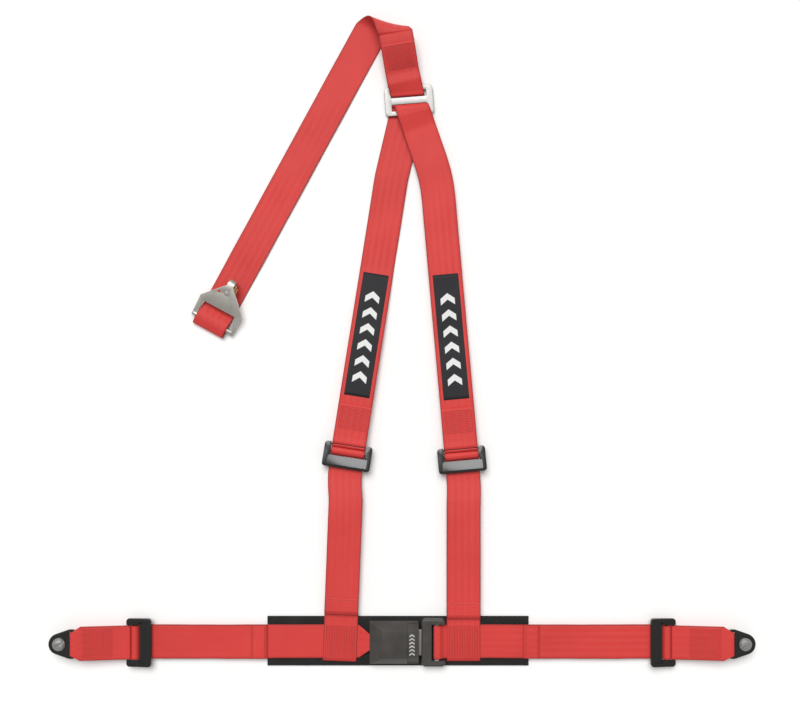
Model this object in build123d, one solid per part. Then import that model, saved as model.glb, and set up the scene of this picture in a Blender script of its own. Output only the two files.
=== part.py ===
from build123d import *
import os
from math import cos, radians, sin

# Three-point racing harness lying flat, buckled. Millimetres.
# Origin: the middle of the buckle pad's underside. +X runs along the lap belt to the wearer's left,
# +Y runs up the shoulder straps towards the rear strap, and +Z points away from the wearer's back.

# ---- driving dimensions ----
WEB_W = 50.0            # webbing width
WEB_T = 1.3             # webbing thickness
GAP = 0.3               # clearance between layers that slide on each other
PAD_SIZE = (390.0, 75.0, 4.0)
PLATE_T = 2.5           # pressed steel plates

# heights of the webbing layers' middle lines above the floor
LAP_Z = PAD_SIZE[2] + GAP + WEB_T / 2
SHOULDER_Z = LAP_Z + WEB_T
LAP_TAIL_Z = SHOULDER_Z + WEB_T + GAP
SHOULDER_TAIL_Z = LAP_TAIL_Z + WEB_T + GAP

# three-bar adjusters: u runs along the strap from the thin bar to the wide bar
THIN_BAR_R = 1.5
LOOP_R = THIN_BAR_R + GAP + WEB_T / 2
ADJUSTER_W = 71.0
ADJUSTER_U = (-3.5, 33.5)
ADJUSTER_LOW = -1.6
WINDOW_W = 52.0
CENTRE_BAR_U = (9.4, 13.4)
CENTRE_BAR_H = 1.2
WIDE_BAR_U = 16.4
LAP_ADJUSTER_Z = LAP_TAIL_Z + WEB_T / 2 + GAP + LOOP_R + WEB_T / 2
SHOULDER_ADJUSTER_Z = SHOULDER_TAIL_Z + WEB_T / 2 + GAP + LOOP_R + WEB_T / 2

# lap belt, side by side: name, side, thin bar, anchor bolt, tail hem, shoulder patch
PATCH_LOW_Y = -29.0
LEFT_LAP = {"side": -1, "thin_bar": 397.5, "bolt": 497.5, "hem": 194.0}
RIGHT_LAP = {"side": 1, "thin_bar": 406.5, "bolt": 509.5, "hem": 186.0}
ANCHOR_NOSE_R = 15.5
ANCHOR_W = 43.0
ANCHOR_T = 3.0
ANCHOR_LENGTH = 24.5    # bolt axis to the plate's inner end
ANCHOR_BAR = 7.0
ANCHOR_SLOT = (36.0, 2.4)
ANCHOR_TURN = 7.7       # the plate's bar turns inside a round webbing loop of this size
BOLT_R = 11.1125 / 2    # 7/16 inch
BOLT_SHOULDER_R = 6.2   # plain shoulder that turns in the plate
BOLT_THREAD_TOP = 17.5
BOLT_HOLE_R = BOLT_SHOULDER_R + 0.09
BOLT_HEAD_R = 9.5
BOLT_SHANK = 19.0
ANCHOR_Z = BOLT_SHANK + GAP

# shoulder straps in plan: thin bar centre, heading of the upper branch and of the lower strap (degrees
# clockwise from +Y), patch centre along X, tail hem along Y
LEFT_SHOULDER = {"bar": (-72.5, 290.0), "branch": 8.96, "lower": 2.3, "patch": -85.6, "hem": 42.0}
RIGHT_SHOULDER = {"bar": (93.0, 285.0), "branch": -5.06, "lower": 0.0, "patch": 97.0, "hem": 36.0}
RIGHT_KNEE_S = 402.0    # along the right branch, where it turns towards the yoke plate
RIGHT_KNEE_TURN = -13.5
SEWN_OVERLAP = 62.0
# the upper branches' middle line as (along, up), before they reach their level stretch
BRANCH_DROP = [(0, SHOULDER_ADJUSTER_Z), (10, SHOULDER_ADJUSTER_Z - 0.6), (100, 11.5), (165, 8.4)]
BRANCH_RADII = [30, 60, 60, 60]
BRANCH_DOWN_S = 270.0   # where a branch becomes level
LEFT_BRANCH_LENGTH = 497.0
RIGHT_TOP_LENGTH = 103.0
LABEL_SIZE = (187.0, 38.0, 0.4)
LEFT_LABEL_S = 73.5
RIGHT_LABEL_S = 74.0

# yoke plate: three bars across, n runs up the plate
YOKE_CENTRE = (16.4, 802.0)
YOKE_TURN = 4.5
YOKE_SIZE = (72.0, 43.0)
YOKE_SLOT = (53.0, 10.2)
YOKE_SLOT_N = 9.9
YOKE_BAR_N = 18.25
YOKE_Z = 5.6
YOKE_LOOP = (0, 7.0)    # the bar turns inside a round loop
FRONT_Z = YOKE_Z + PLATE_T / 2 + GAP + WEB_T / 2

# rear strap: up from the yoke, over a soft roll, back down behind to the hook bracket
REAR_START = (10.0, 820.3)
REAR_UP_ANGLE = 100.0
REAR_DOWN_ANGLE = 241.4
ROLL_R = 14.0
ROLL_CENTRE = (-21.9, 901.2)
ROLL_ANGLE = 164.0
ROLL_SHIFT = 37.0
ROLL_SECTORS = 6
ROLL_SLANT = 1.11       # the strap crosses the roll at a slant, so it covers more of its length
REAR_FOLD = (-39.9, 906.4)
FLOOR_WEB_Z = GAP + WEB_T / 2

# rear hook bracket: a runs from its webbing bar towards the hook
BRACKET_BAR = (-274.5, 472.5)
BRACKET_ANGLE = 61.5
BRACKET_BAR_R = 3.0
BRACKET_BAR_Z = 7.0
BRACKET_TILT = 15.0
BRACKET_W = 68.0
BRACKET_WINDOW_A = 24.0
BRACKET_APEX_A = 62.0
HOOK_R = 6.5
HOOK_W = 10.0
HOOK_LEG = 16.0          # the hook's flat end behind the plate
RIVET_AT = (50.0, 0.0)
RIVET_R = 2.5
PIN_HOLE_AT = (48.0, 11.5)
PIN_HOLE_R = 2.2

# buckle
BUCKLE_X = (-42.0, 30.0)
BUCKLE_HALF_W = 31.0
BUCKLE_Z = (PAD_SIZE[2] + GAP, 25.0)
PARTING_Z = 13.8
TOP_HALF_W = 20.5
WALL = 2.0
BUTTON_X = 13.5
BUTTON_REAR_X = 5.0
BLADE_Z = (9.5, 12.5)
BLADE_HALF_W = 19.0
BLADE_TIP_X = -2.0
TONGUE_BAR_X = (54.5, 60.5)
TONGUE_COVER_X = (34.5, 70.0)
LATCH_PIVOT = (-12.0, 14.8)
LATCH_HUB_R = 2.1
LATCH_PIN_R = 1.2
LATCH_HALF_W = 14.0
LATCH_NOSE_X = (7.5, 10.5)
CHANNEL_Z = (6.6, 9.1)
CHANNEL_X = (-38.0, 26.0)
FLANGE_X = (-20.0, 12.0)
FLANGE_Y = (21.8, 24.0)
FLANGE_TOP = 16.4
SCREW_X = (-24.0, 22.0)
SCREW_Y = (-27.2, 27.2)
SCREW_R = 1.4
SCREW_LENGTH = 1.0
EJECTOR_SPRING = {"start": -24.0, "end": -8.6, "at": (0, 11.0), "radius": 1.2, "turns": 7, "wire": 0.25}
BUTTON_SPRING = {"start": 2.0, "end": 23.2, "at": (17.5, 16.6), "radius": 1.5, "turns": 8, "wire": 0.3}


def span(x, y, z):
    """Box between two limits on each axis."""
    middle = Pos((x[0] + x[1]) / 2, (y[0] + y[1]) / 2, (z[0] + z[1]) / 2)
    return middle * Box(x[1] - x[0], y[1] - y[0], z[1] - z[0])


def standing(face, width):
    """Extrude a face drawn as (along, up) to both sides of the XZ plane."""
    return extrude(Plane.XZ * face, width / 2, both=True)


def strip(points, radius, width=WEB_W, thickness=WEB_T):
    """Webbing whose middle line is points, as (along, up), with rounded corners."""
    line = FilletPolyline(*points, radius=radius) if len(points) > 2 else Line(*points)
    return standing(trace(line, thickness), width)


def flat_strip(start, end, up):
    """Webbing that lies level between two places along it."""
    return span((start, end), (-WEB_W / 2, WEB_W / 2), (up - WEB_T / 2, up + WEB_T / 2))


def bar_room(length, height):
    """Section of the room that a webbing loop leaves for a bar; a length of 0 means a round bar."""
    if length:
        return RectangleRounded(length + 2 * GAP, height + 2 * GAP, 0.25)
    return Circle(height / 2 + GAP)


def bar_loop(length, height, width=WEB_W):
    """Sewn webbing loop round a bar of this section, with clearance."""
    room = bar_room(length, height)
    return standing(offset(room, WEB_T) - room, width)


def loop_hole(length, height, width=WEB_W):
    """The room inside bar_loop."""
    return standing(bar_room(length, height), width)


def one(shape):
    """The single solid of a shape."""
    solids = shape.solids()
    assert len(solids) == 1, len(solids)
    return solids[0]


# ---- pad and buckle ----
def make_pad():
    pad = Pos(0, 0, PAD_SIZE[2] / 2) * Box(*PAD_SIZE)
    return chamfer(pad.edges().group_by(Axis.Z)[-1], 1.2)


def buckle_section(inset):
    """Cross-section of the buckle's outer shape, drawn as (across, up)."""
    low, top = BUCKLE_Z
    half = BUCKLE_HALF_W - inset
    crown = TOP_HALF_W - inset * 0.41
    points = [(-half, low + inset), (half, low + inset), (half, PARTING_Z + 0.4), (crown, top - inset),
              (-crown, top - inset), (-half, PARTING_Z + 0.4)]
    return make_face(Polyline(*points, close=True))


def buckle_body(x, inset):
    """The buckle's outer shape between two places along X."""
    return extrude(Plane(origin=(x[0], 0, 0), x_dir=(0, 1, 0), z_dir=(1, 0, 0)) * buckle_section(inset),
                   x[1] - x[0])


def nose_cut(inset):
    """Cuts the buckle's strap end to a slope."""
    foot, head = BUCKLE_X[0] + inset, BUCKLE_X[0] + 20.0 + inset * 0.6
    face = make_face(Polyline((foot - 30, PARTING_Z), (foot, PARTING_Z), (head, BUCKLE_Z[1] + 1),
                              (foot - 30, BUCKLE_Z[1] + 1), close=True))
    return standing(face, 80)


def make_lower_cover():
    outer = buckle_body(BUCKLE_X, 0) & span((-60, 60), (-50, 50), (0, PARTING_Z))
    inner = buckle_body((BUCKLE_X[0] + WALL, BUCKLE_X[1] - WALL), WALL)
    mouth = span((20, 40), (-BLADE_HALF_W - 1, BLADE_HALF_W + 1), (BLADE_Z[0] - 0.4, 20))
    strap_door = span((-60, -30), (-WEB_W / 2 - 1, WEB_W / 2 + 1), (6.6, 20))
    loop_window = span((-60, -29), (-22.5, 22.5), (0, 20))
    return one(outer - inner - mouth - strap_door - loop_window)


def make_upper_cover():
    above = span((-60, BUTTON_X), (-50, 50), (PARTING_Z, 40))
    outer = buckle_body(BUCKLE_X, 0) & above
    inner = buckle_body((BUCKLE_X[0] + WALL, BUCKLE_X[1] + 1), WALL)
    return one(outer - nose_cut(0) - (inner - nose_cut(WALL)))


def make_button():
    """Press button: a hollow cap whose rear edge runs under the cover."""
    depth = WALL + GAP
    room = span((BUTTON_REAR_X, BUCKLE_X[1] + 0.5), (-50, 50), (PARTING_Z + GAP, 40))
    outer = buckle_body((BUTTON_REAR_X, BUCKLE_X[1] + 0.5), depth) & room
    inner = buckle_body((0, BUCKLE_X[1] + 0.5 - 1.8), depth + 1.6)
    return one(outer - inner)


def make_buckle_frame():
    """Steel channel: base plate with strap bar, latch window and two upright flanges."""
    base = span(CHANNEL_X, (-FLANGE_Y[1], FLANGE_Y[1]), CHANNEL_Z)
    for side in (-1, 1):
        flange_y = sorted((side * FLANGE_Y[0], side * FLANGE_Y[1]))
        base += span(FLANGE_X, flange_y, (CHANNEL_Z[0], FLANGE_TOP))
    strap_slot = span((-33.5, -27), (-21.5, 21.5), (6, 10))
    latch_window = span((2, 14), (-8, 8), (6, 10))
    pivot = Pos(LATCH_PIVOT[0], 0, LATCH_PIVOT[1]) * Rot(90, 0, 0) * Cylinder(LATCH_PIN_R + 0.05, 60)
    return one(base - strap_slot - latch_window - pivot)


def make_latch():
    """Latch plate with its locking nose, swinging on a cross pin."""
    x, z = LATCH_PIVOT
    hub = Pos(x, 0, z) * Rot(90, 0, 0) * Cylinder(LATCH_HUB_R, 40)
    pin = Pos(x, 0, z) * Rot(90, 0, 0) * Cylinder(LATCH_PIN_R, 2 * FLANGE_Y[1])
    plate = span((x, LATCH_NOSE_X[1]), (-LATCH_HALF_W, LATCH_HALF_W), (z - 1.2, z + 0.8))
    nose = span(LATCH_NOSE_X, (-6.5, 6.5), (BLADE_Z[1] + GAP, z))
    return one(hub + pin + plate + nose)


def make_ejector():
    """Sliding block that pushes the tongue out."""
    block = span((-11.5, BLADE_TIP_X - 0.6), (-14, 14), (BLADE_Z[0], BLADE_Z[1] - 0.2))
    return one(block - span((-20, -8), (-4, 4), (0, 30)))


def coil(start, end, at, radius, turns, wire):
    """Helical spring along X."""
    path = Helix(pitch=(end - start) / turns, height=end - start, radius=radius)
    body = sweep(Plane(path @ 0, z_dir=path % 0) * Circle(wire), path=path)
    return Pos(start, at[0], at[1]) * Rot(0, 90, 0) * body


def make_screws():
    """Four self-tapping screws, their heads sunk into the lower cover."""
    places = [(x, y) for x in SCREW_X for y in SCREW_Y]
    return [Pos(x, y, BUCKLE_Z[0] + 0.7) * Cylinder(SCREW_R, SCREW_LENGTH) for x, y in places]


def cut_screws(cover):
    """Cover with a sink for each screw, open to the floor side."""
    for screw in make_screws():
        cover = cover - screw - Pos(0, 0, -0.7) * screw
    return one(cover)


# ---- tongue ----
def make_tongue_plate():
    blade = span((BLADE_TIP_X, 36), (-BLADE_HALF_W, BLADE_HALF_W), BLADE_Z)
    blade = chamfer(blade.edges().filter_by(Axis.Z).group_by(Axis.X)[0], 5)
    shoulder = span((TONGUE_COVER_X[0] + 0.4, 68), (-31.5, 31.5), BLADE_Z)
    web_slot = span((48.5, TONGUE_BAR_X[0]), (-27, 27), (0, 30))
    open_end = span((TONGUE_BAR_X[1], 80), (-27, 27), (0, 30))
    latch_hole = span((3.5, 14.5), (-8.5, 8.5), (0, 30))
    return one(blade + shoulder - web_slot - open_end - latch_hole)


def make_tongue_cover():
    outer = span(TONGUE_COVER_X, (-35, 35), (PAD_SIZE[2] + 1.4, 17.0))
    outer = fillet(outer.edges().filter_by(Axis.Z), 6)
    outer = fillet(outer.edges().group_by(Axis.Z)[-1], 2.5)
    window = span((49.5, 90), (-27, 27), (0, 30))
    socket = span((30.5, 68.2), (-31.6, 31.6), (BLADE_Z[0] - 0.05, BLADE_Z[1] + 0.05))
    return one(outer - window - socket)


# ---- lap belt, drawn outwards from the buckle ----
def lap_place(lap):
    """Turns 'outwards along the lap belt' into the row's X."""
    return Location((0, 0, 0), (0, 0, 0 if lap["side"] > 0 else 180))


def make_left_lap_strap():
    """Runs from the buckle's strap bar out to the adjuster."""
    bar = -BUCKLE_X[0] - 6.2
    outwards = strip([(bar - 2.6, 10.9), (bar + 6, 10.9), (56, LAP_Z), (LEFT_LAP["thin_bar"] - 12, LAP_Z)],
                     [5, 6])
    wide = bar_loop(4.6, PLATE_T, 42)
    hole = Pos(bar, 0, 7.85) * loop_hole(4.6, PLATE_T, 60)
    narrow = span((0, 46), (-21, 21), (0, 30)) + span((46, 500), (-30, 30), (0, 30))
    return lap_place(LEFT_LAP) * one((outwards & narrow) + Pos(bar, 0, 7.85) * wide - hole)


def make_right_lap_strap():
    """Sewn round the tongue's bar, then out to the adjuster."""
    bar = (TONGUE_BAR_X[0] + TONGUE_BAR_X[1]) / 2
    height = (BLADE_Z[0] + BLADE_Z[1]) / 2
    loop = Pos(bar, 0, height) * bar_loop(6.0, 3.0)
    hole = Pos(bar, 0, height) * loop_hole(6.0, 3.0, 80)
    lead = strip([(bar + 3, height - 2.5), (bar + 5, height - 2.6), (68, LAP_Z),
                  (RIGHT_LAP["thin_bar"] - 12, LAP_Z)], [4, 6])
    return one(loop + lead - hole)


def make_lap_tail(lap):
    return lap_place(lap) * flat_strip(lap["hem"], lap["thin_bar"] - 15, LAP_TAIL_Z)


def make_connecting_strap(lap):
    """Short doubled strap sewn round the adjuster's thin bar and the anchor plate's bar."""
    inner, outer = lap["thin_bar"], lap["bolt"] - ANCHOR_LENGTH + ANCHOR_BAR / 2
    anchor_up = ANCHOR_Z + ANCHOR_T / 2
    middle = strip([(inner, LAP_ADJUSTER_Z), (outer, anchor_up)], [], thickness=2 * WEB_T)
    thin = Pos(inner, 0, LAP_ADJUSTER_Z)
    wide = Pos(outer, 0, anchor_up)
    near = ANCHOR_SLOT[0] - 2.0
    taper = make_face(Polyline((inner - 9, -25), (outer - 9.5, -25), (outer + 3, -near / 2),
                               (outer + 9, -near / 2), (outer + 9, near / 2), (outer + 3, near / 2),
                               (outer - 9.5, 25), (inner - 9, 25), close=True))
    solid = middle + thin * bar_loop(0, 2 * THIN_BAR_R) + wide * bar_loop(0, ANCHOR_TURN)
    solid -= thin * loop_hole(0, 2 * THIN_BAR_R, 60)
    solid -= wide * loop_hole(0, ANCHOR_TURN, 60)
    return lap_place(lap) * one(solid & extrude(taper, 60))


def make_anchor_plate(lap):
    """Egg-shaped plate with a bolt hole and a webbing slot."""
    wide_end = Pos(7 - ANCHOR_LENGTH, 0) * RectangleRounded(14, ANCHOR_W, 5)
    body = make_hull(Circle(ANCHOR_NOSE_R).edges() + wide_end.edges())
    slot_at = Pos(-ANCHOR_LENGTH + ANCHOR_BAR + ANCHOR_SLOT[1] / 2, 0)
    slot = slot_at * RectangleRounded(ANCHOR_SLOT[1], ANCHOR_SLOT[0], 0.8)
    face = body - slot - Circle(BOLT_HOLE_R)
    plate = extrude(Pos(0, 0, ANCHOR_Z) * face, ANCHOR_T)
    return lap_place(lap) * Pos(lap["bolt"], 0, 0) * one(plate)


def make_anchor_bolt(lap):
    """Slotted domed shoulder bolt, pointing down through the plate."""
    top = ANCHOR_Z + ANCHOR_T + GAP
    head_face = make_face(Polyline((0, top), (BOLT_HEAD_R, top), (BOLT_HEAD_R, top + 2.0), (6.5, top + 5.0),
                                   (0, top + 5.6), close=True))
    head = revolve(Plane.XZ * head_face, Axis.Z)
    tip = ANCHOR_Z - BOLT_SHANK
    thread = Pos(0, 0, (BOLT_THREAD_TOP + tip) / 2) * Cylinder(BOLT_R, BOLT_THREAD_TOP - tip)
    thread = chamfer(thread.edges().group_by(Axis.Z)[0], 0.8)
    shoulder = Pos(0, 0, (top + BOLT_THREAD_TOP) / 2) * Cylinder(BOLT_SHOULDER_R, top - BOLT_THREAD_TOP)
    groove = span((-12, 12), (-1.1, 1.1), (top + 2.4, top + 9))
    place = lap_place(lap) * Pos(lap["bolt"], 0, 0) * Rot(0, 0, 28)
    return place * one(head + shoulder + thread - groove)


def make_bolt_washer(lap):
    """Retaining washer that keeps the bolt in the plate."""
    ring = extrude(Circle(8.5) - Circle(BOLT_SHOULDER_R + 0.05), 1.2)
    return lap_place(lap) * Pos(lap["bolt"], 0, ANCHOR_Z - GAP - 1.2) * one(ring)


# ---- three-bar adjusters ----
def make_adjuster():
    """Frame with thin, centre and wide bars; the thin bar's axis is the origin, u is +X."""
    low, high = ADJUSTER_U
    side = make_face(Polyline((low, ADJUSTER_LOW), (high, ADJUSTER_LOW), (high, 3.2), (high - 2, 4.8),
                              (high - 4.5, 4.8), (10, 2.2), (low, 1.4), close=True))
    body = standing(side, ADJUSTER_W)
    body &= extrude(Pos((low + high) / 2, 0, -5) * RectangleRounded(high - low, ADJUSTER_W, 4.5), 20)
    window = span((-THIN_BAR_R - 0.5, WIDE_BAR_U), (-WINDOW_W / 2, WINDOW_W / 2), (-9, 9))
    thin_end = span((low - 1, 0), (-WINDOW_W / 2, WINDOW_W / 2), (-9, 9))
    slope = make_face(Polyline((WIDE_BAR_U - 1, 0.0), (WIDE_BAR_U, 0.0), (high - 4.0, 4.2), (high - 4.0, 9),
                               (WIDE_BAR_U - 1, 9), close=True))
    body = body - window - thin_end - standing(slope, ADJUSTER_W - 11)
    thin_bar = Rot(90, 0, 0) * Cylinder(THIN_BAR_R, WINDOW_W + 2)
    centre = span(CENTRE_BAR_U, (-WINDOW_W / 2 - 1, WINDOW_W / 2 + 1), (-CENTRE_BAR_H, CENTRE_BAR_H))
    return one(body + thin_bar + centre)


def make_turn():
    """The strap's turn over an adjuster's centre bar."""
    length = CENTRE_BAR_U[1] - CENTRE_BAR_U[0]
    inner = RectangleRounded(length + 2 * GAP, 2 * CENTRE_BAR_H + 2 * GAP, 0.9)
    outer = offset(inner, WEB_T)
    legs = outer - inner - Pos(0, -3) * Rectangle(length + 2 * GAP, 6)
    arch = legs - Pos(0, -CENTRE_BAR_H - 5) * Rectangle(40, 10)
    return Pos((CENTRE_BAR_U[0] + CENTRE_BAR_U[1]) / 2, 0, 0) * one(standing(arch, WEB_W))


def lap_adjuster_place(lap):
    turn = 180 if lap["side"] > 0 else 0
    return Location((lap["side"] * lap["thin_bar"], 0, LAP_ADJUSTER_Z), (0, 0, turn))


def shoulder_adjuster_place(shoulder):
    x, y = shoulder["bar"]
    return Location((x, y, SHOULDER_ADJUSTER_Z), (0, 0, -90 - shoulder["branch"]))


# ---- shoulder straps ----
def lower_place(shoulder):
    """Origin on the lap belt under the patch, along the lower strap."""
    return Location((shoulder["patch"], 0, 0), (0, 0, 90 - shoulder["lower"]))


def make_lower_strap(shoulder):
    reach = shoulder["bar"][1] - 9.0
    patch = span((PATCH_LOW_Y, 0), (-WEB_W / 2, WEB_W / 2), (SHOULDER_Z - WEB_T / 2, SHOULDER_Z + WEB_T / 2))
    return lower_place(shoulder) * one(flat_strip(0, reach, SHOULDER_Z) + patch)


def make_shoulder_tail(shoulder):
    reach = shoulder["bar"][1] - 15.0
    return lower_place(shoulder) * flat_strip(shoulder["hem"], reach, SHOULDER_TAIL_Z)


def branch_place(shoulder):
    x, y = shoulder["bar"]
    return Location((x, y, 0), (0, 0, 90 - shoulder["branch"]))


def make_branch(shoulder, reach, end_z):
    """One upper branch: sewn loop at the adjuster, doubled start, then down to end_z."""
    single = strip(BRANCH_DROP + [(BRANCH_DOWN_S, end_z), (reach, end_z)], BRANCH_RADII)
    doubled = strip(BRANCH_DROP[:2] + [(SEWN_OVERLAP, 13.7)], [30], thickness=2 * WEB_T)
    solid = single + doubled + Pos(0, 0, SHOULDER_ADJUSTER_Z) * bar_loop(0, 2 * THIN_BAR_R)
    solid -= Pos(0, 0, SHOULDER_ADJUSTER_Z) * loop_hole(0, 2 * THIN_BAR_R, 60)
    return branch_place(shoulder) * solid


def yoke_place(n, z=0):
    """A bar's place on the yoke plate: X runs across the strap, Y along the bar."""
    turn = radians(YOKE_TURN)
    x, y = YOKE_CENTRE[0] - n * sin(turn), YOKE_CENTRE[1] + n * cos(turn)
    return Location((x, y, z), (0, 0, 90 + YOKE_TURN))


def make_upper_strap():
    """One strap: left branch behind the yoke's bottom bar, round it, right branch in front."""
    loop_at = yoke_place(-YOKE_BAR_N, YOKE_Z)
    loop = loop_at * bar_loop(*YOKE_LOOP)
    left = make_branch(LEFT_SHOULDER, LEFT_BRANCH_LENGTH, FLOOR_WEB_Z)
    right = make_branch(RIGHT_SHOULDER, RIGHT_KNEE_S, FRONT_Z)
    knee_place = branch_place(RIGHT_SHOULDER) * Pos(RIGHT_KNEE_S, 0, 0)
    top = knee_place * Rot(0, 0, -RIGHT_KNEE_TURN) * span(
        (-6, RIGHT_TOP_LENGTH), (-WEB_W / 2, WEB_W / 2), (FRONT_Z - WEB_T / 2, FRONT_Z + WEB_T / 2))
    past_bar = loop_at * span((0, 60), (-60, 60), (-20, 30))
    solid = (left + right + top) - past_bar + loop
    return one(solid - loop_at * loop_hole(*YOKE_LOOP, 90))


def make_label(shoulder, start, z):
    """Woven label sewn on the front of an upper branch, where the branch lies level or nearly so."""
    length, width, thick = LABEL_SIZE
    line = FilletPolyline(*BRANCH_DROP, (BRANCH_DOWN_S, z), (LEFT_BRANCH_LENGTH, z), radius=BRANCH_RADII)
    above = trace(line, WEB_T + 2 * thick) - trace(line, WEB_T)
    above &= Pos(start + length / 2, 20) * Rectangle(length, 40)
    upper = sorted(above.faces(), key=lambda f: f.center().Y)[-1]
    return branch_place(shoulder) * one(standing(upper, width))


# ---- yoke plate ----
def make_yoke():
    face = RectangleRounded(*YOKE_SIZE, 6)
    for n in (-YOKE_SLOT_N, YOKE_SLOT_N):
        face -= Pos(0, n) * RectangleRounded(*YOKE_SLOT, 1.5)
    plate = extrude(face, PLATE_T / 2, both=True)
    plate = chamfer(plate.faces().filter_by(Axis.Z)[0].outer_wire().edges(), 0.5)
    return Location((*YOKE_CENTRE, YOKE_Z), (0, 0, YOKE_TURN)) * one(plate)


# ---- rear strap ----
def make_roll():
    """The soft half-turn at the top, as sectors that step sideways along the roll."""
    tube = Circle(ROLL_R + WEB_T / 2) - Circle(ROLL_R - WEB_T / 2)
    step = 180 / ROLL_SECTORS
    solid = None
    for k in range(ROLL_SECTORS):
        rays = [(3 * ROLL_R * cos(radians(a)), 3 * ROLL_R * sin(radians(a)))
                for a in (k * step - 90, (k + 1) * step - 90)]
        wedge = make_face(Polyline((0, 0), *rays, close=True))
        shift = ROLL_SHIFT * (0.5 - (k + 0.5) / ROLL_SECTORS)
        piece = Pos(0, shift, FLOOR_WEB_Z + ROLL_R) * standing(tube & wedge, WEB_W * ROLL_SLANT)
        solid = piece if solid is None else solid + piece
    return Location((*ROLL_CENTRE, 0), (0, 0, ROLL_ANGLE - 90)) * solid


def make_rear_strap():
    up_place = Location((*REAR_START, 0), (0, 0, REAR_UP_ANGLE))
    top_z = FLOOR_WEB_Z + 2 * ROLL_R
    rising = up_place * strip([(0, YOKE_Z), (8, YOKE_Z + 0.4), (70, top_z - 1.5), (82, top_z)], [20, 20])
    doubled = up_place * strip([(3, YOKE_Z + 0.5), (8, YOKE_Z + 1.6), (66, top_z - 1.6)], [20])
    loop_at = yoke_place(YOKE_BAR_N, YOKE_Z)
    loop = loop_at * bar_loop(*YOKE_LOOP)
    down_place = Location((*REAR_FOLD, 0), (0, 0, REAR_DOWN_ANGLE))
    bar = Vector(*BRACKET_BAR)
    reach = (bar - Vector(*REAR_FOLD)).length
    falling = down_place * strip([(-6, FLOOR_WEB_Z), (reach + 9, FLOOR_WEB_Z)], [])
    bight = down_place * strip([(reach + 8, FLOOR_WEB_Z), (reach + 13.5, FLOOR_WEB_Z), (reach + 13.5, 7.2),
                                (reach + 3, 11.5), (reach - 6, 11.2), (reach - 20, 3.2),
                                (reach - 28, FLOOR_WEB_Z + WEB_T)], [2.2, 2.2, 3, 4, 6])
    sewn_end = down_place * flat_strip(reach - 40, reach - 25, FLOOR_WEB_Z + WEB_T)
    body = rising + doubled + loop + make_roll() + falling + bight + sewn_end
    return one(body - loop_at * loop_hole(*YOKE_LOOP, 90))


# ---- rear hook bracket ----
def bracket_place():
    """Origin on the webbing bar's axis, X towards the hook, plate tilted up."""
    return Location((*BRACKET_BAR, BRACKET_BAR_Z), (0, 0, BRACKET_ANGLE))


def tilted():
    return Rot(0, -BRACKET_TILT, 0)


def make_bracket():
    """Triangular plate with a webbing window, its tip bent back into a hook."""
    half = BRACKET_W / 2
    apex = BRACKET_APEX_A
    outline = make_face(Polyline((-3.5, -half), (30, -half), (apex, -5), (apex, 5), (30, half), (-3.5, half),
                                 close=True))
    window = Pos(BRACKET_WINDOW_A / 2, 0) * RectangleRounded(BRACKET_WINDOW_A, WEB_W + 4, 3)
    bar_gap = Pos(-6, 0) * Rectangle(24, WEB_W + 4)
    rivet_hole = Pos(*RIVET_AT) * Circle(RIVET_R)
    pin_hole = Pos(*PIN_HOLE_AT) * Circle(PIN_HOLE_R)
    plate = extrude(outline - window - bar_gap - rivet_hole - pin_hole, PLATE_T / 2, both=True)
    curl = HOOK_R + PLATE_T / 2
    ring = (Circle(HOOK_R + PLATE_T) - Circle(HOOK_R)) & Pos(20, 0) * Rectangle(40, 60)
    hook = Pos(apex - 0.5, 0, -curl) * standing(ring, HOOK_W)
    behind = (-2 * curl - PLATE_T / 2, -2 * curl + PLATE_T / 2)
    leg = span((apex - HOOK_LEG, apex), (-HOOK_W / 2, HOOK_W / 2), behind)
    solid = tilted() * (plate + hook + leg)
    bar = Rot(90, 0, 0) * Cylinder(BRACKET_BAR_R, BRACKET_W - 4)
    return bracket_place() * one(solid + bar)


def make_gate():
    """Sprung gate under the plate: closing finger across the throat and two thumb prongs."""
    under = -PLATE_T / 2 - GAP
    a, v = RIVET_AT
    thick = 1.2
    arm = span((a - 13, a + 3), (v - 3.5, v + 3.5), (under - thick, under))
    finger = span((a - 13, a - 10.5), (v - 3.5, v + 3.5), (under - 9.6, under))
    prongs = span((a - 2, a + 16), (v - 9, v - 6.6), (under - thick, under))
    prongs += span((a - 2, a + 13), (v - 12, v - 10), (under - thick, under))
    prongs += span((a - 2, a + 2), (v - 12, v), (under - thick, under))
    hole = Pos(a, v, 0) * Cylinder(RIVET_R + 0.05, 60)
    return bracket_place() * tilted() * one(arm + finger + prongs - hole)


def make_rivet():
    """Rivet that the gate swings on."""
    a, v = RIVET_AT
    length = PLATE_T + 1.8
    shank = Pos(a, v, PLATE_T / 2 - length / 2) * Cylinder(RIVET_R, length)
    head = Pos(a, v, PLATE_T / 2 + 0.5) * Cylinder(RIVET_R + 1.0, 1.0)
    tail = Pos(a, v, PLATE_T / 2 - length - 0.4) * Cylinder(RIVET_R + 0.8, 0.8)
    return bracket_place() * tilted() * one(head + shank + tail)


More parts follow.
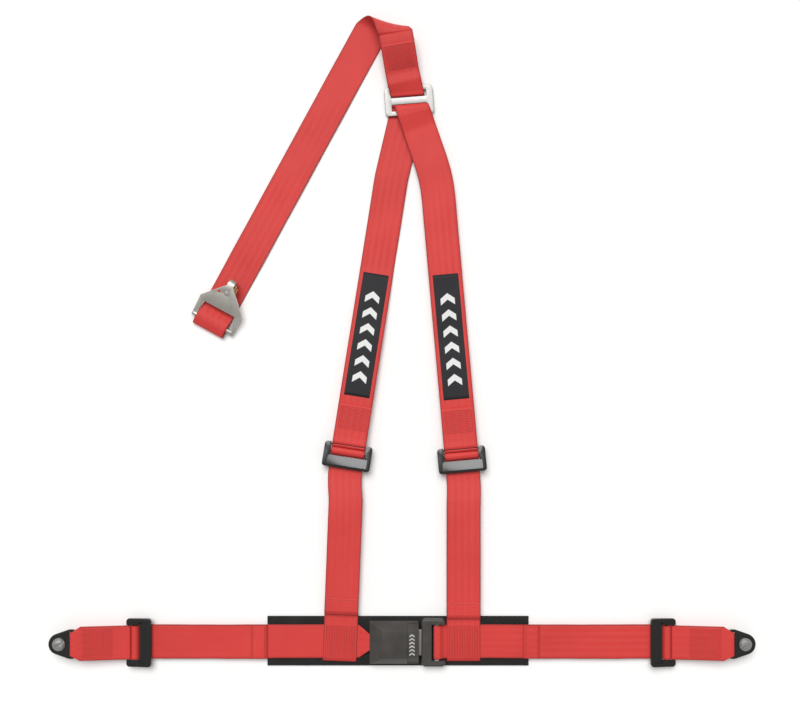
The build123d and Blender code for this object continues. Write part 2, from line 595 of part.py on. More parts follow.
# ---- the assembly ----
def parts():
    made = {
        "buckle_pad": make_pad(),
        "buckle_lower_cover": cut_screws(make_lower_cover()),
        "buckle_upper_cover": make_upper_cover(),
        "buckle_frame": make_buckle_frame(),
        "buckle_screws": make_screws(),
        "release_button": make_button(),
        "latch_plate": make_latch(),
        "ejector": make_ejector(),
        "ejector_spring": coil(**EJECTOR_SPRING),
        "button_spring": coil(**BUTTON_SPRING),
        "tongue_plate": make_tongue_plate(),
        "tongue_cover": make_tongue_cover(),
        "left_lap_strap": make_left_lap_strap(),
        "right_lap_strap": make_right_lap_strap(),
        "upper_strap": make_upper_strap(),
        "left_label": make_label(LEFT_SHOULDER, LEFT_LABEL_S, FLOOR_WEB_Z),
        "right_label": make_label(RIGHT_SHOULDER, RIGHT_LABEL_S, FRONT_Z),
        "yoke_plate": make_yoke(),
        "rear_strap": make_rear_strap(),
        "rear_bracket": make_bracket(),
        "hook_gate": make_gate(),
        "gate_rivet": make_rivet(),
    }
    for name, lap in (("left", LEFT_LAP), ("right", RIGHT_LAP)):
        place = lap_adjuster_place(lap)
        made[f"{name}_connecting_strap"] = make_connecting_strap(lap)
        made[f"{name}_lap_adjuster"] = place * make_adjuster()
        made[f"{name}_lap_turn"] = place * make_turn()
        made[f"{name}_lap_tail"] = make_lap_tail(lap)
        made[f"{name}_anchor_plate"] = make_anchor_plate(lap)
        made[f"{name}_anchor_bolt"] = make_anchor_bolt(lap)
        made[f"{name}_bolt_washer"] = make_bolt_washer(lap)
    for name, shoulder in (("left", LEFT_SHOULDER), ("right", RIGHT_SHOULDER)):
        place = shoulder_adjuster_place(shoulder)
        made[f"{name}_lower_strap"] = make_lower_strap(shoulder)
        made[f"{name}_shoulder_adjuster"] = place * make_adjuster()
        made[f"{name}_shoulder_turn"] = place * make_turn()
        made[f"{name}_shoulder_tail"] = make_shoulder_tail(shoulder)
    return made


os.makedirs("parts", exist_ok=True)
for node, shape in parts().items():
    solids = shape if isinstance(shape, list) else shape.solids()
    export_step(Compound(children=list(solids)), f"parts/{node}.step")
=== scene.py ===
import random
from math import atan2, ceil, cos, hypot, pi, radians, sin

import bmesh
import bpy
from mathutils import Matrix, Vector


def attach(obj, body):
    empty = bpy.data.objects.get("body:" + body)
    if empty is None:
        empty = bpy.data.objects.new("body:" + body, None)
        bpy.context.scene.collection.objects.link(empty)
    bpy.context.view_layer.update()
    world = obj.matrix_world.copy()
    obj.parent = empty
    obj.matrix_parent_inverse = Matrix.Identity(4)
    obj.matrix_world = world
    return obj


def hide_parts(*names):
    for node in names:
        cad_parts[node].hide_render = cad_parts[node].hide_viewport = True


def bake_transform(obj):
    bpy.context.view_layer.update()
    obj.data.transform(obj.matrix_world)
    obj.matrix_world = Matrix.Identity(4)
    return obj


# A three-point racing harness lying flat. Metres; the same frame as the CAD part.
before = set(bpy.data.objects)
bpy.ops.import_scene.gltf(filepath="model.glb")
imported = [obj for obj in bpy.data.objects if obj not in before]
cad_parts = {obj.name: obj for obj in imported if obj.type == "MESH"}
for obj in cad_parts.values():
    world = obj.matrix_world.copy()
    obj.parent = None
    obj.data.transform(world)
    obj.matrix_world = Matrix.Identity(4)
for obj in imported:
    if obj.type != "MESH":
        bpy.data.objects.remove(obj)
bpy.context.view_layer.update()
random.seed(11)

MM = 0.001
UP = Vector((0, 0, 1))

# ---- webbing and its layers, as in the CAD part ----
WEB_HALF = 25.0
WEB_T = 1.3
LAP_Z = 4.95
SHOULDER_Z = 6.25
LAP_TAIL_Z = 7.85
SHOULDER_TAIL_Z = 9.45
FLOOR_WEB_Z = 0.95
LAP_ADJUSTER_Z = 11.9
SHOULDER_ADJUSTER_Z = 13.5
BAR_LOOP_R = 2.45       # middle line of a webbing loop round an adjuster's thin bar
CLIMB_U = (8.45, 14.35)  # where the strap climbs and falls at the centre bar
BULGE_U = 4.3           # how near the thin bar its soft turn swells
TURN_UP = 2.15          # its middle line above the centre bar's axis
UNDER_BAR_U = 24.0      # where the strap pieces part, hidden under the wide bar
STEP = 5.0              # spacing of sections along a level strap
FOLD_PLY = 24.0         # length of a folded hem
HEM_HALF = 24.8         # its upper ply is a little narrower and thinner than the strap
HEM_T = 0.9
HEM_PLY_UP = 0.75       # from the strap's middle line up to that ply's
HEM_OVERHANG = 0.3
HEM_SEAMS = (3.5, FOLD_PLY - 3)     # distances from the free end
HEM_SEAM_UP = 1.25
HEM_SEAM_HALF = 22.0
BLOCK_HALF = 20.0       # half width of the stitch blocks beside metalwork
PATCH_HALF = 21.0       # and of the ones where the shoulder straps meet the lap straps
ROW_INSET = 1.5         # how far a block's inner rows stay inside its box seam
LABEL_LENGTH = 187.0
LABEL_HALF = 19.0
LABEL_T = 0.45
LABEL_SEAM_HALF = 17.8
LABEL_SEAM_IN = 1.2     # the end seams' distance from the label's ends

TIP_HALF = 10.5         # the left lap strap is cut narrower where it enters the buckle
TIP_START = 40.0
TIP_LENGTH = 19.0
PLY_OFFSET = 0.68       # each ply of a connecting strap, from their common middle
PLY_PLACES = (6.5, 10, 16, 24, 32, 40, 48, 54)      # from the adjuster's thin bar
BAR_SWELL = 1.5         # how much further apart the plies lie beside the thin bar
ANCHOR_SWELL = 2.6      # and beside the anchor plate's bar
SLOT_NARROWING = 8.0    # taken off each side of a connecting strap in the anchor plate's slot
SLOT_NARROW_FROM = 9.5  # before the bar
SLOT_NARROW_RUN = 12.5
UV_MM = 50.0            # one unit of a strap's own coordinates
TWILL_HALF = 5.0        # width of one leg of the herringbone
TWILL_LEAN = 0.9
TWILL_PITCH = 1.25
CORD_PITCH = 1.0
CHEVRON_PITCH = 24.0

LAPS = {
    "left": {"side": -1, "thin_bar": 397.5, "bolt": 497.5, "hem": 194.0, "body": "buckle"},
    "right": {"side": 1, "thin_bar": 406.5, "bolt": 509.5, "hem": 186.0, "body": "tongue"},
}
SHOULDERS = {
    "left": {"bar": (-72.5, 290.0), "branch": 8.96, "lower": 2.3, "patch": -85.6, "hem": 42.0,
             "label": 73.5},
    "right": {"bar": (93.0, 285.0), "branch": -5.06, "lower": 0.0, "patch": 97.0, "hem": 36.0,
              "label": 74.0},
}
PATCH_LOW_Y = -29.0
TAIL_LIFT = 3.0         # how far the shoulder straps' free ends lie above the straps below
ANCHOR_BAR_IN = 21.0
ANCHOR_BAR_Z = 20.8
ANCHOR_LOOP_R = 4.8
YOKE_CENTRE = (16.4, 802.0)
YOKE_TURN = 4.5
YOKE_BAR_N = 18.25
YOKE_Z = 5.6
YOKE_FOLD_N = 6.4       # where straps fold in the slots, from the plate's middle
YOKE_END_RADII = [30, 12, 5, 2.5]
FOLD_BEHIND = [(40, 0.95), (16, 0.95), (3, 1.6), (0.4, 3.2), (0, 5.6)]     # (distance back, up)
FOLD_FRONT = [(36, 7.9), (14, 13.6), (5, 14.2), (0.8, 11.0), (0, 5.6)]
REAR_BEHIND = [(0, 5.6), (0.4, 3.2), (3, 2.0), (14, 4.0), (30, 13.4)]
REAR_FRONT = [(0, 5.6), (0.8, 9.4), (5, 10.4), (20, 17.0), (33, 16.6)]
SLOT_EASE = 26.0        # how far from a slot a strap turns square to it
FRONT_Z = 7.8
KNEE_S = 402.0          # along the branches, where they turn towards the yoke plate
KNEE_RADIUS = 220.0
REAR_START = (10.0, 820.3)
REAR_UP_ANGLE = 100.0
REAR_DOWN_ANGLE = 241.4
ROLL_R = 14.0
ROLL_CENTRE = (-21.9, 901.2)
ROLL_ANGLE = 164.0
ROLL_SHIFT = 37.0
ROLL_STEPS = 24
REAR_RISE = 77.0        # along the rear strap, where its roll begins
REAR_FOLD = (-39.9, 906.4)
BRACKET_BAR = (-274.5, 472.5)
WAVE_UP = 1.0           # height of the waves in loose webbing
CALM_SPOTS = [  # (centre), radius without waves, radius where they are full
    ((0, 0), 128, 190), ((-397.5, 0), 40, 90), ((406.5, 0), 40, 90), ((-497.5, 0), 110, 140),
    ((509.5, 0), 110, 140), ((-72.5, 290), 45, 100), ((93, 285), 45, 100), ((16, 802), 45, 120),
    ((-22, 901), 40, 110), ((-274.5, 472.5), 60, 120),
]


# ---- materials ----
class Paint:
    """A procedural material: a Principled shader and helpers for the nodes that feed it."""

    def __init__(self, name, colour, roughness, **sockets):
        self.material = bpy.data.materials.new(name)
        self.material.use_nodes = True
        self.tree = self.material.node_tree
        self.shader = self.tree.nodes["Principled BSDF"]
        self.shader.inputs["Base Color"].default_value = (*colour, 1)
        self.shader.inputs["Roughness"].default_value = roughness
        for socket, value in sockets.items():
            self.shader.inputs[socket.replace("_", " ")].default_value = value

    def node(self, kind, **inputs):
        made = self.tree.nodes.new(kind)
        for key, value in inputs.items():
            self.feed(made.inputs[key.replace("_", " ")], value)
        return made

    def feed(self, socket, value):
        if isinstance(value, bpy.types.NodeSocket):
            self.tree.links.new(value, socket)
        else:
            socket.default_value = value

    def math(self, operation, a, b=0.0):
        made = self.tree.nodes.new("ShaderNodeMath")
        made.operation = operation
        self.feed(made.inputs[0], a)
        self.feed(made.inputs[1], b)
        return made.outputs[0]

    def band(self, value, low, high, soft):
        """1 where value lies between low and high, fading over soft on both sides."""
        rise = self.ramp(value, low - soft, low + soft)
        fall = self.ramp(value, high - soft, high + soft)
        return self.math("SUBTRACT", rise, fall)

    def ramp(self, value, low, high):
        made = self.tree.nodes.new("ShaderNodeMapRange")
        self.feed(made.inputs["Value"], value)
        made.inputs["From Min"].default_value = low
        made.inputs["From Max"].default_value = high
        return made.outputs["Result"]

    def mix(self, factor, a, b):
        made = self.tree.nodes.new("ShaderNodeMix")
        made.data_type = "RGBA"
        for socket, value in ((made.inputs[0], factor), (made.inputs[6], a), (made.inputs[7], b)):
            if isinstance(value, tuple):
                value = (*value, 1)
            self.feed(socket, value)
        return made.outputs[2]

    def noise(self, scale, detail=2.0, stretch=(1, 1, 1)):
        """Noise in object space, with its scale in cycles per metre."""
        where = self.tree.nodes.new("ShaderNodeTexCoord").outputs["Object"]
        mapping = self.node("ShaderNodeMapping", Vector=where, Scale=stretch)
        return self.node("ShaderNodeTexNoise", Vector=mapping.outputs[0], Scale=scale,
                         Detail=detail).outputs[0]

    def across_along(self):
        """The strap's own coordinates in millimetres."""
        uv = self.tree.nodes.new("ShaderNodeUVMap")
        uv.uv_map = "strap"
        parts = self.node("ShaderNodeSeparateXYZ", Vector=uv.outputs[0])
        return (self.math("MULTIPLY", parts.outputs[0], UV_MM),
                self.math("MULTIPLY", parts.outputs[1], UV_MM))

    def bump(self, height, distance, strength):
        made = self.node("ShaderNodeBump", Height=height, Strength=strength, Distance=distance)
        self.feed(self.shader.inputs["Normal"], made.outputs[0])


def webbing_paint(name, bright, deep):
    """Polyester webbing: herringbone twill, a groove near each edge, painted shade darkening the outer edges,
    and a soft sheen.
    """
    paint = Paint(name, bright, 0.46, Sheen_Weight=0.04, Sheen_Roughness=0.5, Specular_IOR_Level=0.28)
    across, along = paint.across_along()
    zigzag = paint.math("PINGPONG", across, TWILL_HALF)
    lean = paint.math("MULTIPLY", zigzag, TWILL_LEAN)
    rib = paint.math("ADD", along, lean)
    rib = paint.math("SINE", paint.math("MULTIPLY", rib, 2 * pi / TWILL_PITCH))
    rib = paint.ramp(rib, -1.0, 1.0)
    cord = paint.math("SINE", paint.math("MULTIPLY", across, 2 * pi / CORD_PITCH))
    cord = paint.ramp(cord, -1.0, 1.0)
    weave = paint.math("ADD", paint.math("MULTIPLY", rib, 0.88), paint.math("MULTIPLY", cord, 0.12))
    edge = paint.math("ABSOLUTE", across)
    groove = paint.band(edge, 21.4, 22.2, 0.25)
    # painted shade: the outer 1.5 mm of each edge darkens as if shaded where the edge rolls away
    edge_shade = paint.ramp(edge, 22.8, 24.2)
    wear = paint.noise(38.0, 3.0)
    soft = paint.noise(7.0, 2.0)
    colour = paint.mix(paint.ramp(weave, 0.1, 0.9), tuple(c * 0.86 for c in bright), bright)
    colour = paint.mix(paint.math("MULTIPLY", paint.ramp(wear, 0.35, 0.75), 0.10), colour, deep)
    colour = paint.mix(paint.math("MULTIPLY", paint.ramp(soft, 0.40, 0.66), 0.14), colour, deep)
    colour = paint.mix(paint.math("MULTIPLY", groove, 0.22), colour, deep)
    # mix in the painted edge shade
    colour = paint.mix(paint.math("MULTIPLY", edge_shade, 0.8), colour, deep)
    paint.feed(paint.shader.inputs["Base Color"], colour)
    height = paint.math("SUBTRACT", weave, paint.math("MULTIPLY", groove, 0.8))
    paint.bump(height, 0.00016, 0.75)
    return paint.material


def label_paint():
    """Black satin label woven with a row of plain white chevrons."""
    paint = Paint("label_cloth", (0.012, 0.012, 0.014), 0.62, Sheen_Weight=0.05, Specular_IOR_Level=0.3)
    across, along = paint.across_along()
    side = paint.math("ABSOLUTE", across)
    lean = paint.math("ADD", along, paint.math("MULTIPLY", side, 0.75))
    cell = paint.math("MODULO", lean, CHEVRON_PITCH)
    chevron = paint.band(cell, 4.0, 13.5, 0.25)
    chevron = paint.math("MULTIPLY", chevron, paint.band(side, -1.0, 10.5, 0.25))
    chevron = paint.math("MULTIPLY", chevron, paint.band(lean, 26.0, 170.0, 0.25))
    thread = paint.math("SINE", paint.math("MULTIPLY", along, 2 * pi / 0.55))
    thread = paint.ramp(thread, -1.0, 1.0)
    white = paint.mix(thread, (0.62, 0.62, 0.62), (0.86, 0.86, 0.85))
    black = paint.mix(thread, (0.008, 0.008, 0.010), (0.020, 0.020, 0.023))
    paint.feed(paint.shader.inputs["Base Color"], paint.mix(chevron, black, white))
    height = paint.math("ADD", paint.math("MULTIPLY", thread, 0.4), chevron)
    paint.bump(height, 0.00012, 0.7)
    return paint.material


def pad_paint():
    """Black woven nylon with a coarse plain weave and dust in the hollows."""
    paint = Paint("pad_cloth", (0.018, 0.018, 0.018), 0.85, Sheen_Weight=0.08, Specular_IOR_Level=0.25)
    where = paint.tree.nodes.new("ShaderNodeTexCoord").outputs["Object"]
    place = paint.node("ShaderNodeSeparateXYZ", Vector=where)
    warp = paint.math("SINE", paint.math("MULTIPLY", place.outputs[0], 2 * pi / 0.0011))
    weft = paint.math("SINE", paint.math("MULTIPLY", place.outputs[1], 2 * pi / 0.0011))
    weave = paint.ramp(paint.math("MULTIPLY", warp, weft), -1.0, 1.0)
    dust = paint.ramp(paint.noise(45.0, 4.0), 0.45, 0.8)
    colour = paint.mix(weave, (0.008, 0.008, 0.008), (0.020, 0.019, 0.018))
    colour = paint.mix(paint.math("MULTIPLY", dust, 0.25), colour, (0.05, 0.047, 0.044))
    paint.feed(paint.shader.inputs["Base Color"], colour)
    paint.bump(weave, 0.0002, 0.8)
    return paint.material


def moulded_paint(name, colour, roughness):
    """Fine-grained moulded plastic with a faint spark texture and handling polish."""
    paint = Paint(name, colour, roughness, Specular_IOR_Level=0.45)
    grain = paint.noise(2600.0, 2.0)
    polish = paint.noise(55.0, 3.0)
    rough = paint.math("ADD", roughness - 0.06, paint.math("MULTIPLY", polish, 0.14))
    paint.feed(paint.shader.inputs["Roughness"], rough)
    tone = paint.mix(paint.ramp(polish, 0.3, 0.7), tuple(c * 0.85 for c in colour),
                     tuple(c * 1.15 for c in colour))
    paint.feed(paint.shader.inputs["Base Color"], tone)
    paint.bump(grain, 0.00005, 0.5)
    return paint.material


def enamel_paint():
    """Thick black enamel on stamped steel, slightly rippled."""
    paint = Paint("black_enamel", (0.006, 0.006, 0.006), 0.28, Coat_Weight=0.2, Coat_Roughness=0.12)
    ripple = paint.noise(420.0, 2.0)
    smear = paint.noise(60.0, 3.0)
    rough = paint.math("ADD", 0.24, paint.math("MULTIPLY", smear, 0.04))
    paint.feed(paint.shader.inputs["Roughness"], rough)
    paint.bump(ripple, 0.00004, 0.15)
    return paint.material


def metal_paint(name, colour, roughness, grain_stretch=(1, 14, 1)):
    """Plated steel with a rolled or brushed grain and faint blotches."""
    paint = Paint(name, colour, roughness, Metallic=1.0)
    grain = paint.noise(900.0, 3.0, grain_stretch)
    blotch = paint.noise(70.0, 3.0)
    rough = paint.math("ADD", roughness - 0.08, paint.math("MULTIPLY", grain, 0.18))
    paint.feed(paint.shader.inputs["Roughness"], rough)
    tone = paint.mix(paint.ramp(blotch, 0.3, 0.75), tuple(c * 0.88 for c in colour), colour)
    paint.feed(paint.shader.inputs["Base Color"], tone)
    paint.bump(grain, 0.00004, 0.4)
    return paint.material


RED = (0.70, 0.050, 0.044)
RED_DEEP = (0.30, 0.022, 0.020)
PAINTS = {
    "webbing": webbing_paint("webbing_red", RED, RED_DEEP),
    "label_cloth": label_paint(),
    "pad_cloth": pad_paint(),
    "black_enamel": enamel_paint(),
    "buckle_plastic": moulded_paint("buckle_plastic", (0.047, 0.042, 0.037), 0.42),
    "bright_steel": metal_paint("bright_steel", (0.39, 0.38, 0.37), 0.48),
    "zinc_plate": metal_paint("zinc_plate", (0.60, 0.575, 0.53), 0.42),
    "gold_zinc": metal_paint("gold_zinc", (0.55, 0.36, 0.14), 0.36),
}
THREAD = moulded_paint("red_thread", (0.26, 0.016, 0.015), 0.6)
BLACK_THREAD = moulded_paint("black_thread", (0.02, 0.02, 0.02), 0.6)
MARK = moulded_paint("mark_print", (0.50, 0.49, 0.47), 0.55)


# ---- meshes ----
def waviness(x, y):
    """Height in millimetres of the gentle waves that webbing takes up when it lies loose. It fades
    to nothing beside metalwork, and every layer shares it, so layers stay apart."""
    calm = 1.0
    for (cx, cy), near, far in CALM_SPOTS:
        calm = min(calm, smooth((hypot(x - cx, y - cy) - near) / (far - near)))
    wave = sin(0.047 * x + 0.031 * y) + 0.7 * sin(0.083 * y - 0.037 * x + 1.3) + 0.5 * sin(0.12 * x + 0.4)
    return calm * WAVE_UP * (wave + 2.2) / 2.2


def smooth(t):
    """Eases from 0 to 1 as t goes from 0 to 1, and stays at the ends beyond."""
    t = min(1.0, max(0.0, t))
    return t * t * (3 - 2 * t)


def lifted(v):
    """A strap's point with the waves added, and never below the floor."""
    return (v[0], v[1], max(0.05, v[2] + waviness(v[0], v[1])))


def new_object(name, verts, faces, material, soft=True):
    """Object with verts in millimetres."""
    mesh = bpy.data.meshes.new(name)
    mesh.from_pydata([tuple(c * MM for c in v) for v in verts], [], faces)
    mesh.materials.append(material)
    for polygon in mesh.polygons:
        polygon.use_smooth = soft
    made = bpy.data.objects.new(name, mesh)
    bpy.context.scene.collection.objects.link(made)
    return made


def rounded(points, radii, step=STEP):
    """Points along a polyline whose corners are arcs, close together in the arcs."""
    radii = radii if isinstance(radii, (list, tuple)) else [radii] * (len(points) - 2)
    corners = [Vector(p) for p in points]
    path = [corners[0]]

    def run_to(end):
        start = path[-1]
        count = max(1, ceil((end - start).length / step))
        path.extend(start.lerp(end, k / count) for k in range(1, count + 1))

    for before, corner, after, radius in zip(corners, corners[1:], corners[2:], radii):
        arrive, leave = (corner - before).normalized(), (after - corner).normalized()
        turn = arrive.angle(leave)
        if turn < 1e-4:
            run_to(corner)
            continue
        reach = radius * sin(turn / 2) / cos(turn / 2)
        run_to(corner - arrive * reach)
        centre = corner + (leave - arrive).normalized() * (radius / cos(turn / 2))
        first = path[-1] - centre
        hand = 1 if arrive.x * leave.y > arrive.y * leave.x else -1
        count = max(3, ceil(turn / radians(11)))
        for k in range(1, count + 1):
            path.append(centre + Matrix.Rotation(hand * turn * k / count, 2) @ first)
    run_to(corners[-1])
    return path


def arc(centre, radius, start, end, count=16):
    """Points on an arc, angles in degrees."""
    angles = [radians(start + (end - start) * k / count) for k in range(count + 1)]
    return [Vector((centre[0] + radius * cos(a), centre[1] + radius * sin(a))) for a in angles]


def tangents(path):
    """Unit direction at each point of a path."""
    ends = [path[0]] + list(path) + [path[-1]]
    return [(b - a).normalized() for a, b in zip(ends, ends[2:])]


def place_on(plan, along):
    """Point and direction at a distance along a line drawn in plan."""
    directions = tangents(plan)
    for k in range(len(plan) - 1):
        step = (plan[k + 1] - plan[k]).length
        if along <= step or k == len(plan) - 2:
            t = along / step
            return plan[k].lerp(plan[k + 1], t), directions[k].lerp(directions[k + 1], min(1.0, t))
        along -= step


def length_of(plan):
    """Length of a line drawn in plan."""
    return sum((b - a).length for a, b in zip(plan, plan[1:]))


class Section:
    """One cross-section of a strap: middle, direction across, normal and half width."""

    def __init__(self, middle, across, normal, half=WEB_HALF, thick=WEB_T):
        self.middle = middle
        self.across = across
        self.normal = normal
        self.half = half
        self.thick = thick


def sections(origin, heading, profile, half=WEB_HALF, thick=WEB_T):
    """Sections of a strap that keeps one heading in plan; profile holds (along, up) points."""
    along = Vector((cos(radians(heading)), sin(radians(heading)), 0))
    across = Vector((-along.y, along.x, 0))
    found = []
    for point, direction in zip(profile, tangents(profile)):
        middle = Vector((origin[0], origin[1], 0)) + along * point.x + Vector((0, 0, point.y))
        normal = across.cross(-(along * direction.x + Vector((0, 0, direction.y)))).normalized()
        width = half(point.x) if callable(half) else half
        found.append(Section(middle, across.copy(), normal, width, thick))
    return found


EDGE_STEPS = (1.0, 0.93, 0.72, 0.38)


def outline(half, thick):
    """Points round a strap's section as (across, up), from one edge over the top and back."""
    r = thick / 2
    flat = half - r
    top = [(-flat - r * e, r * (1 - e * e) ** 0.5) for e in EDGE_STEPS[1:]]
    top += [(flat * k / 6, r) for k in range(-6, 7)]
    top += [(flat + r * e, r * (1 - e * e) ** 0.5) for e in reversed(EDGE_STEPS[1:])]
    bottom = [(a, -up) for a, up in reversed(top)]
    return [(-half, 0.0)] + top + [(half, 0.0)] + bottom


def ribbon(name, line, material=None, closed=False, start_along=0.0):
    """Strap mesh through a list of sections, with its own along and across coordinates."""
    verts, faces, lengths = [], [], [start_along]
    for before, after in zip(line, line[1:]):
        lengths.append(lengths[-1] + (after.middle - before.middle).length)
    rings = [outline(s.half, s.thick) for s in line]
    size = len(rings[0])
    for section, ring in zip(line, rings):
        verts += [section.middle + section.across * a + section.normal * up for a, up in ring]
    last = len(line) if closed else len(line) - 1
    for k in range(last):
        low, high = k * size, (k + 1) % len(line) * size
        for j in range(size):
            n = (j + 1) % size
            faces.append((low + j, low + n, high + n, high + j))
    if not closed:
        faces.append(tuple(range(size))[::-1])
        faces.append(tuple(range(len(verts) - size, len(verts))))
    made = new_object(name, [lifted(v) for v in verts], faces, material or PAINTS["webbing"])
    if not closed:
        for cap in made.data.polygons[-2:]:
            cap.use_smooth = False
    layer = made.data.uv_layers.new(name="strap")
    for polygon in made.data.polygons:
        wrap = closed and polygon.index >= (last - 1) * size
        for loop in polygon.loop_indices:
            vertex = made.data.loops[loop].vertex_index
            k, j = divmod(vertex, size)
            along = lengths[k]
            if wrap and k == 0:
                along = lengths[-1] + (line[0].middle - line[-1].middle).length
            layer.data[loop].uv = (rings[k][j][0] / UV_MM, along / UV_MM)
    return made


def stitches(name, rows, material=THREAD, length=2.9, pitch=3.1, radius=0.30, wavy=True):
    """Raised stitches along rows; each row is (start, end, normal) in millimetres."""
    verts, faces = [], []
    for start, end, normal in rows:
        run = end - start
        count = max(1, int(run.length / pitch))
        direction = run.normalized()
        side = normal.cross(direction).normalized()
        for k in range(count):
            middle = start + run * ((k + 0.5) / count)
            middle = middle + side * random.uniform(-0.08, 0.08)
            base = len(verts)
            for place, size in ((-0.5, 0.35), (-0.3, 0.95), (0.0, 1.15), (0.3, 0.95), (0.5, 0.35)):
                for corner in range(6):
                    turn = corner * pi / 3
                    lift = normal * (sin(turn) * radius * size + (size - 1.0) * radius * 0.8)
                    verts.append(middle + direction * (place * length) + lift
                                 + side * (cos(turn) * radius * size))
            for ring in range(4):
                for corner in range(6):
                    n = (corner + 1) % 6
                    a, b = base + ring * 6, base + ring * 6 + 6
                    faces.append((a + corner, a + n, b + n, b + corner))
            faces.append(tuple(base + c for c in range(5, -1, -1)))
            faces.append(tuple(base + 24 + c for c in range(6)))
    return new_object(name, [lifted(v) for v in verts] if wavy else verts, faces, material)


def on_strap(origin, heading, along, across, up):
    """Place on a level strap, from its origin and heading."""
    a = radians(heading)
    return Vector((origin[0] + along * cos(a) - across * sin(a),
                   origin[1] + along * sin(a) + across * cos(a), up))


def block_rows(origin, heading, along, half, up, slope=0.0, crosswise=False, gap=2.4):
    """Stitch block: a box seam and close rows inside it; up grows by slope per millimetre along."""
    def at(a, b):
        return on_strap(origin, heading, a, b, up + slope * (a - along[0]))

    low, high = along
    rows = [(at(low, -half), at(low, half), UP), (at(high, half), at(high, -half), UP),
            (at(low, half), at(high, half), UP), (at(high, -half), at(low, -half), UP)]
    length = high - low if crosswise else 2 * half
    count = int(length / gap)
    for k in range(1, count):
        t = k / count
        if crosswise:
            a = low + (high - low) * t
            rows.append((at(a, -half + ROW_INSET), at(a, half - ROW_INSET), UP))
        else:
            b = -half + 2 * half * t
            rows.append((at(low + ROW_INSET, b), at(high - ROW_INSET, b), UP))
    return rows


def dress(piece, body, slot, *nodes):
    """Puts a finished piece on its body, in place of its CAD nodes."""
    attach(piece, body)
    if nodes:
        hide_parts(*nodes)
    return piece


def join_two(piece, first, second, start, end, slot, *nodes):
    """Keeps a piece that lies between two bodies fixed in world space and hides its CAD nodes; it joins
    neither body.
    """
    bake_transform(piece)
    if nodes:
        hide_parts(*nodes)
    return piece


def machined(node, body, slot, width):
    """The CAD piece with its edges broken, in the material of its slot."""
    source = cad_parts[node]
    mesh = source.data.copy()
    mesh.name = f"{node}_finished"
    shape = bmesh.new()
    shape.from_mesh(mesh)
    bmesh.ops.remove_doubles(shape, verts=shape.verts, dist=2e-6)
    bmesh.ops.dissolve_limit(shape, angle_limit=radians(0.6), verts=shape.verts, edges=shape.edges)
    sharp = [e for e in shape.edges if len(e.link_faces) == 2 and e.calc_face_angle(0) > radians(28)]
    bmesh.ops.bevel(shape, geom=sharp, offset=width * MM, segments=3, affect="EDGES",
                    clamp_overlap=True, profile=0.5)
    bmesh.ops.triangulate(shape, faces=[f for f in shape.faces if len(f.verts) > 4])
    shape.to_mesh(mesh)
    shape.free()
    mesh.materials.clear()
    mesh.materials.append(PAINTS[slot])
    for polygon in mesh.polygons:
        polygon.use_smooth = True
        polygon.material_index = 0
    mesh.set_sharp_from_angle(angle=radians(32))
    made = bpy.data.objects.new(mesh.name, mesh)
    bpy.context.scene.collection.objects.link(made)
    return dress(made, body, slot, node)


def turn_profile(low, high, axis):
    """Strap that comes in at low, swells up over the centre bar and goes back at high."""
    top = axis + TURN_UP
    return rounded([(UNDER_BAR_U, low), (0.6, low), (1.8, low + 2.6), (BULGE_U, axis - 1.4),
                    (BULGE_U + 0.4, top + 0.2), (CLIMB_U[0] - 0.6, top + 1.9), (CLIMB_U[1] - 2.2, top + 0.9),
                    (CLIMB_U[1], top - 2.4), (CLIMB_U[1], high), (UNDER_BAR_U, high)],
                   [1.0, 1.2, 2.0, 2.6, 4.5, 4.0, 2.5, 1.0], 2.0)


# ---- the lap belt ----
def lap_point(lap, along, up, across=0.0):
    return Vector((lap["side"] * along, lap["side"] * across, up))


def lap_heading(lap):
    return 0 if lap["side"] > 0 else 180


def lap_sections(lap, profile, half=WEB_HALF, thick=WEB_T):
    return sections((0, 0), lap_heading(lap), profile, half, thick)


def make_hem(name, fold, body, place):
    """A free end's folded ply and the seams through it; place gives a point from its distance to
    the end and its distance across."""
    dress(fold, body, "webbing")
    seams = [(place(s, -HEM_SEAM_HALF), place(s, HEM_SEAM_HALF), UP) for s in HEM_SEAMS]
    dress(stitches(f"{name}_hem_seam", seams), body, "webbing")


